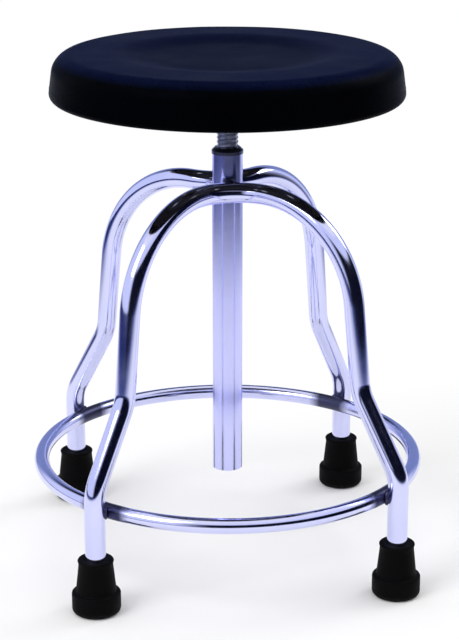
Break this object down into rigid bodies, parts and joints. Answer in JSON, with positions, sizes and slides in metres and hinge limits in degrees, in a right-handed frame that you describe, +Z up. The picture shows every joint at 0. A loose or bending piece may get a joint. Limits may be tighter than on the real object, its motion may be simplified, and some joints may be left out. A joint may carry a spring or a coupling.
{
  "type": "revolving screw stool",
  "caption": "Height-adjustable stool: a round dished pad on a screw spindle in a plain column, carried by two bent tube hoops with a foot ring and rubber feet.",
  "frame": {"origin": "on the floor under the column's axis", "axes": "+Z up along the column, -Y towards the front hoop, +X to the right as seen from the front"},
  "size_m": [0.3763, 0.3762, 0.489],
  "materials": {
    "pad_skin": "satin moulded skin",
    "plywood": "stained black, sanded",
    "black_steel": "semi-gloss black",
    "zinc": "zinc plated",
    "screw_steel": "bright rolled thread",
    "chrome": "polished",
    "nylon": "natural",
    "rubber": "matt black"
  },
  "bodies": {
    "frame": {"spindle_nut": "chrome", "nut_pins": "chrome", "column": "chrome", "front_hoop": "chrome", "rear_hoop": "chrome", "hoop_welds": "chrome", "foot_ring": "chrome", "ring_welds": "chrome", "foot_front_left": "rubber", "foot_front_right": "rubber", "foot_rear_left": "rubber", "foot_rear_right": "rubber", "foot_washers": "zinc"},
    "lift": {"guide_bush": "nylon"},
    "seat": {"seat_pad": "pad_skin", "seat_board": "plywood", "seat_inserts": "zinc", "seat_plate": "black_steel", "plate_screws": "zinc", "screw_washers": "zinc", "plate_hub": "black_steel", "hub_weld_ring": "black_steel", "spindle": "screw_steel", "stop_washer": "zinc", "end_washer": "zinc", "end_screw": "zinc"}
  },
  "joints": [
    {"name": "seat_rise", "type": "slide", "parent": "frame", "child": "lift", "axis": [0, 0, 1], "range_m": [-0.0241, 0.1761]},
    {"name": "seat_turn", "type": "hinge", "parent": "lift", "child": "seat", "pos_m": [0, 0, 0.3], "axis": [0, 0, 1], "range_deg": [-1080, 7920]}
  ],
  "couplings": [
    {"joint": "seat_rise", "follows": "seat_turn", "m_per_rad": 0.0012732}
  ]
}
